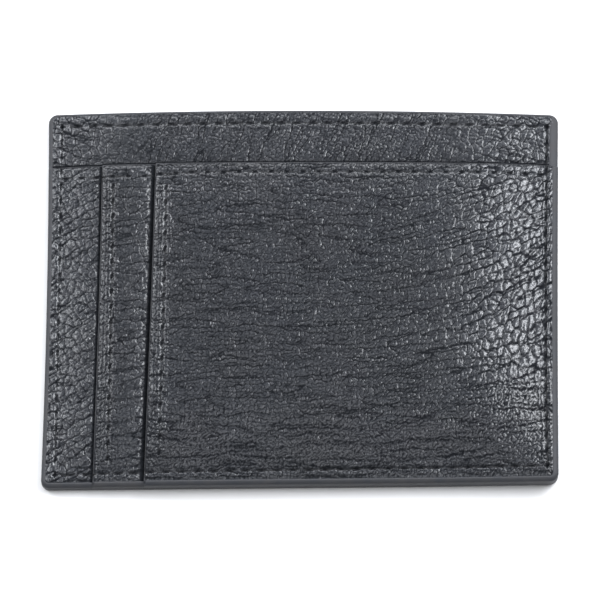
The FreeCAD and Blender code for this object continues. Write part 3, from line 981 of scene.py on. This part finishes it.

# %% [markdown]
# ## Linings
# Behind each pocket leather is a cloth so thin that only its edge and the dark of the pocket show.
# It is glued to the leather, so it follows the leather's back, a hair below it, and needs no
# cloth simulation. The size that it was cut to is printed.

# %% Line the pockets
LINING_NODES = {"base": "base_lining", "slot": "slot_1_lining", "front": "slot_2_lining"}
for layer, node in LINING_NODES.items():
    x_lines = lines((slot_x.get(layer, left) + 0.1, right, 0.8))
    x, y = rounded(*np.meshgrid(x_lines, lines((low, mouth_y - 0.1, 0.8))), INSET)
    x = leaned(layer, x, y)
    roll = rolled(outline_distance(x, y), lap_at(x, y) + 0.1, 0.75)
    back = FACES[layer](x, y) - layers[layer]["leather"] - roll - 0.08
    lining = piece(layer + "_lining_cloth", shell(x, y, back, back - layers[layer]["cloth"] * 0.8),
                   cloth, [node])
    flat = ((x.max() - x.min()) * MM, (y.max() - y.min()) * MM)
    layer + "_leather"
    print("cut", layer, "lining", [round(side, 4) for side in flat], "m")

# %% [markdown]
# ## Painted edges
# Edge paint is built up in coats and sanded between them, so it ends as a smooth round band that
# laps a little over the face. Around the outline it is one closed ring whose height follows the
# layers below. At the mouths it is a bead along the cut edge.


# %% Walk round the outline
def outline_path(step):
    """Points round the outline, and the outward direction at each."""
    wide, tall, radius = half_w + coat, half_h + coat, CORNER + coat
    points, outward = [], []
    for k, (sx, sy) in enumerate(((1, -1), (1, 1), (-1, 1), (-1, -1))):
        start = -90 + 90 * k
        for angle in np.radians(np.linspace(start, start + 90, 17)):
            direction = np.array([math.cos(angle), math.sin(angle)])
            middle = np.array([sx * (wide - radius), sy * (tall - radius)])
            points.append(middle + radius * direction)
            outward.append(direction)
    points, outward = np.array(points), np.array(outward)
    full_points, full_outward = [], []
    for a, b, n, m in zip(points, np.roll(points, -1, 0), outward, np.roll(outward, -1, 0)):
        count = max(1, int(np.hypot(*(b - a)) / step))
        share = np.arange(count)[:, None] / count
        full_points.append(a + (b - a) * share)
        full_outward.append(n + (m - n) * share)
    return np.concatenate(full_points), np.concatenate(full_outward)


print("points round the outline:", len(outline_path(FINE)[0]))


# %% Paint round the outline
def stepped_height(x, y):
    """Height of the pressed layers' top along the outline, with a notch at each slot."""
    height = np.where(y > mouth_y, divider_top, layers["base"]["top"])
    for layer, before in (("slot", "base"), ("front", "slot")):
        rise = layers[layer]["top"] - layers[before]["top"]
        past = ease((x - slot_line(layer, y) + 0.1) / 0.2)
        notch = 0.45 * groove(x - slot_line(layer, y) + 0.15, 0.16)
        height = height + np.where(y < mouth_y, rise * past, 0)
        height = height - np.where(y < -half_h / 2, notch, 0)
    return height


FIRST_ANGLE = 0.3  # where the round shoulder starts, in radians from level
SHOULDER, SINK_IN = 0.73, 0.04  # how far the shoulder comes down, and starts below the face
FOOT = 0.42  # height of the round foot
BURIED = 0.3  # how far the ring's inner side is hidden beyond its lap


def outline_coat():
    """A ring whose section is a round shoulder, a side, a round foot and a hidden inner side."""
    points, outward = outline_path(FINE)
    x, y = points[:, 0], points[:, 1]
    top = stepped_height(x, y)
    kernel = np.array([1, 2, 3, 2, 1]) / 9
    top = np.convolve(np.concatenate([top[-2:], top, top[:2]]), kernel, "valid")
    lap = coat + lap_towards(outward[:, 0], outward[:, 1], y)
    lap = lap + 0.05 * noise(np.arange(len(x)) / 9.0, 0 * x, 7)
    profile = []
    for angle in np.linspace(FIRST_ANGLE, np.pi / 2, 8):
        share = (1 - np.sin(angle)) / (1 - np.sin(FIRST_ANGLE))
        profile.append((lap * share, top - SINK_IN - SHOULDER * (1 - np.cos(angle))))
    for share in (0.35, 0.7):
        level = (top - SINK_IN - SHOULDER) * (1 - share) + FOOT * share
        profile.append((0.02 * np.sin(share * np.pi) + 0 * x, level))
    for angle in np.linspace(0, 1, 6) * np.pi / 2:
        profile.append((0.45 * (1 - np.cos(angle)) + 0 * x, FOOT - 0.4 * np.sin(angle)))
    profile.append((lap + BURIED, 0.3 + 0 * x))
    profile.append((lap + BURIED, top - 0.9))
    rings = np.stack([
        np.stack([x - inward * outward[:, 0], y - inward * outward[:, 1], z + 0 * x], -1)
        for inward, z in profile], 1)
    return tube(rings[:, ::-1], closed=True)


piece("outline_edge_coat", outline_coat(), edge_paint, ["perimeter_edge_paint"])


# %% Paint the mouths
def bead(xs, ys, face, outward, thick):
    """A bead along a cut edge. outward points away from the sheet."""
    angles = np.linspace(0, 2 * np.pi, 14, endpoint=False)
    swell = 1 + 0.08 * noise(np.arange(len(xs)) / 12.0, 0 * xs, 23)
    middle = face - thick / 2 - 0.38
    out = np.outer(swell, np.cos(angles)) * 0.26 - 0.14
    up = np.outer(swell, np.sin(angles)) * (thick / 2 + 0.02)
    return tube(np.stack([xs[:, None] + out * outward[0], ys[:, None] + out * outward[1],
                          middle[:, None] + up], -1))


def cut_thickness(layer):
    return layers[layer]["leather"] + layers[layer]["cloth"]


mouth_beads = []
for layer in ("base", "slot", "front"):
    start = left + 0.4 if layer == "base" else slot_line(layer, mouth_y) + 0.05
    xs = lines((start, right - 0.4, 0.2))
    ys = np.full_like(xs, mouth_y)
    mouth_beads.append(bead(xs[::-1], ys, FACES[layer](xs[::-1], ys), (0, 1), cut_thickness(layer)))
piece("mouth_edge_coat", joined(mouth_beads), edge_paint, ["pocket_mouth_edge_paint"])

for layer, node in (("slot", "slot_1_edge_paint"), ("front", "slot_2_edge_paint")):
    ys = lines((low + 0.5, mouth_y - 0.05, 0.2))
    xs = slot_line(layer, ys)
    geometry = bead(xs, ys, FACES[layer](xs + 0.01, ys), (-1, 0), cut_thickness(layer))
    piece(layer + "_edge_coat", geometry, edge_paint, [node])

# %% [markdown]
# ## Stitches
# Each stitch is a short length of two-ply thread. It comes up out of one hole, lies tight over the
# leather, leaning a little, and goes down the next. A two-ply twist is an oval that turns as it
# goes, which is enough at this size.

# %% Shape one stitch
THREAD = 0.16  # half the thread's width
SINK = 0.07  # how far a tight stitch lies below the face
FLAT_THREAD = 0.85  # the thread is pressed to this share of its height


def taut(places, heights):
    """The line that a tight thread takes over bumps: the upper hull of the heights."""
    hull = []
    for point in zip(places, heights):
        while len(hull) > 1 and ((hull[-1][1] - hull[-2][1]) * (point[0] - hull[-1][0])
                                 <= (point[1] - hull[-1][1]) * (hull[-1][0] - hull[-2][0])):
            hull.pop()
        hull.append(point)
    return np.interp(places, *zip(*hull))


def stitch(start, end, height_at, side=1, lean=0.09):
    """One stitch from hole to hole. side is -1 for thread on the underside."""
    start, end = np.array(start), np.array(end)
    along = (end - start) / np.hypot(*(end - start))
    across = np.array([-along[1], along[0]])
    share = np.linspace(0, 1, 15)
    slant = lean * (1 - 2 * share)
    flat = start + np.outer(share, end - start) + np.outer(slant, across)
    base = np.array([height_at(px, py) for px, py in flat])
    if side > 0 and top_layer(*start) == top_layer(*end):
        base = taut(share, base)
    dive = np.clip(np.abs(share - 0.5) * 2 - 0.62, 0, None) / 0.38
    z = base - side * (SINK + 0.55 * dive**2 - 0.05 * np.cos((share - 0.5) * np.pi))
    angles = np.linspace(0, 2 * np.pi, 10, endpoint=False)
    twist = share * np.hypot(*(end - start)) * 3.4
    radius = THREAD * (1 + 0.22 * np.cos(2 * (angles[None] - twist[:, None])))
    radius = radius * (1 - 0.35 * dive[:, None] ** 2)
    out, up = radius * np.cos(angles)[None], radius * np.sin(angles)[None] * FLAT_THREAD
    rings = np.stack([flat[:, None, 0] + out * across[0], flat[:, None, 1] + out * across[1],
                      z[:, None] + up], -1)
    return tube(rings)


print("a stitch has", len(stitch((0, 0), (PITCH, 0), lambda x, y: 0.0)[0]), "points")

# %% Sew the seams
UNDER_GRAIN, UNDER_LINING = 0.14, 0.12  # where a thread presses, below the smooth face and cloth
BOBBIN_LEVEL = 0.3  # the outline's bobbin thread lies this high in the rear leather


def face_of(layer):
    """Height of the pressed face of a layer, for one place at a time."""
    return lambda x, y: float(FACES[layer](np.array(x), np.array(y))) - UNDER_GRAIN


def back_of(layer):
    """Height of the underside of a layer's lining."""
    return lambda x, y: (float(FACES[layer](np.array(x), np.array(y)))
                         - (layers[layer]["leather"] + layers[layer]["cloth"]) - UNDER_LINING)


def shown_face(x, y):
    return face_of(top_layer(x, y))(x, y)


def sew(name, holes, height_at, node, side=1):
    """All the stitches of one thread as one piece."""
    stitches = [stitch(a, b, height_at, side) for a, b in zip(holes, holes[1:])]
    piece(name + "_stitches", joined(stitches), thread, [node + "_thread"])


outline_holes = [hole for seam in outline.values() for hole in seam.holes()[:-1]]
outline_holes.append(outline_holes[0])
sew("outline_needle", outline_holes, shown_face, "perimeter_needle")
sew("outline_bobbin", outline_holes, lambda x, y: BOBBIN_LEVEL, "perimeter_bobbin", -1)
sew("mouth_needle", mouth_seam.holes(), shown_face, "pocket_mouth_needle")
sew("mouth_bobbin", mouth_seam.holes(), back_of("base"), "pocket_mouth_bobbin", -1)
sew("slot_needle", slot_seam.holes(), shown_face, "slot_1_mouth_needle")
sew("slot_bobbin", slot_seam.holes(), back_of("slot"), "slot_1_mouth_bobbin", -1)
sew("front_needle", front_seam.holes(), shown_face, "slot_2_mouth_needle")
sew("front_bobbin", front_seam.holes(), back_of("front"), "slot_2_mouth_bobbin", -1)
sew("stop_needle", stop_seam.holes(), face_of("slot"), "slot_1_stop_needle")
sew("stop_bobbin", stop_seam.holes(), back_of("base"), "slot_1_stop_bobbin", -1)

# %% [markdown]
# ## Table and light
# The holder lies on a white sweep, lit so strongly that the sheet itself shows no tone. A wide
# light behind throws the short shadow forward. Polished pebbles show what they mirror, so a bright
# softbox on the right glows on the pebbles there, and a weaker one does on the left. Two more
# behind them brighten the sides, and two weak ones overhead keep the middle from going black.


# %% Lay the table
def table_finish(start):
    place = start.node("TexCoord", {}, {}, "Object")
    tooth = start.node("TexNoise", {}, {"Vector": place, "Scale": 300.0, "Detail": 2.0}, "Fac")
    return start.node("BsdfPrincipled", {}, {
        "Base Color": tooth.mix((0.76, 0.76, 0.76, 1), (0.78, 0.78, 0.78, 1)), "Roughness": 0.9,
        "Specular IOR Level": 0.0})


bpy.ops.mesh.primitive_plane_add(size=6, location=(0, 0, -0.00003))
table = bpy.context.object
table.name = "table"
table.data.materials.append(finish("white_sweep", table_finish))
print("table", tuple(table.dimensions))

# %% Hang the lights
SOFTBOXES = {  # direction from the holder, distance, width and height in metres, brightness
    "behind": ((0.0, 1.0, 0.8), 1.0, 0.9, 0.4, 5.5),
    "above": ((0.0, 0.1, 0.99), 1.3, 0.85, 1.7, 0.22),
    "front": ((0.0, -0.15, 0.99), 1.0, 0.7, 0.28, 1.8),
    "right": ((0.49, 0.3, 0.82), 1.0, 0.42, 0.65, 12.5),
    "left": ((-0.48, 0.2, 0.83), 1.0, 0.35, 0.6, 5.5),
    "back_right": ((0.9, 0.6, 0.6), 1.0, 0.5, 0.5, 4.0),
    "back_left": ((-0.9, 0.6, 0.6), 1.0, 0.5, 0.5, 8.0),
}


def softbox(name, towards, distance, width, height, glow):
    """A rectangular light that faces the holder. glow is its brightness, not its power."""
    data = bpy.data.lights.new(name, "AREA")
    data.shape, data.size, data.size_y = "RECTANGLE", width, height
    data.energy = glow * math.pi * width * height
    data.color = (0.97, 0.99, 1.03)
    lamp = bpy.data.objects.new(name, data)
    bpy.context.scene.collection.objects.link(lamp)
    direction = Vector(towards).normalized()
    across = Vector((0, 1, 0)).cross(direction).normalized()
    lamp.matrix_world = Matrix((across, direction.cross(across), direction)).transposed().to_4x4()
    lamp.location = direction * distance


for name, settings in SOFTBOXES.items():
    softbox(name, *settings)

# %% Fill the room with soft light
world = bpy.data.worlds.new("studio")
world.use_nodes = True
air = world.node_tree.nodes["Background"]
air.inputs["Color"].default_value = (0.98, 0.99, 1.0, 1)
air.inputs["Strength"].default_value = 0.35
bpy.context.scene.world = world
bpy.context.scene.view_settings.view_transform = "Standard"
bpy.context.scene.view_settings.look = "None"
print("room light", air.inputs["Strength"].default_value)

# %% [markdown]
# ## Camera
# A long lens from well above, tilted a little towards the near edge, keeps the sides almost
# parallel. The lens follows from how wide the view is at that distance.

# %% Place the camera
TILT, DISTANCE, VIEW_WIDTH = 14.5, 1.2, 0.1194  # degrees from straight down, metres, metres
SENSOR = 36  # millimetres
aim = Vector((-0.0003, 0.0003, 0.0))
lens = bpy.data.cameras.new("camera")
lens.sensor_width = SENSOR
lens.lens = SENSOR * DISTANCE / VIEW_WIDTH
lens.clip_start, lens.clip_end = 0.05, 20
camera = bpy.data.objects.new("camera", lens)
bpy.context.scene.collection.objects.link(camera)
tilt = math.radians(TILT)
camera.location = aim + Vector((0, -math.sin(tilt), math.cos(tilt))) * DISTANCE
camera.rotation_euler = (tilt, 0, 0)
bpy.context.scene.camera = camera
print("camera at", tuple(round(c, 3) for c in camera.location))

# %% [markdown]
# ## Finish
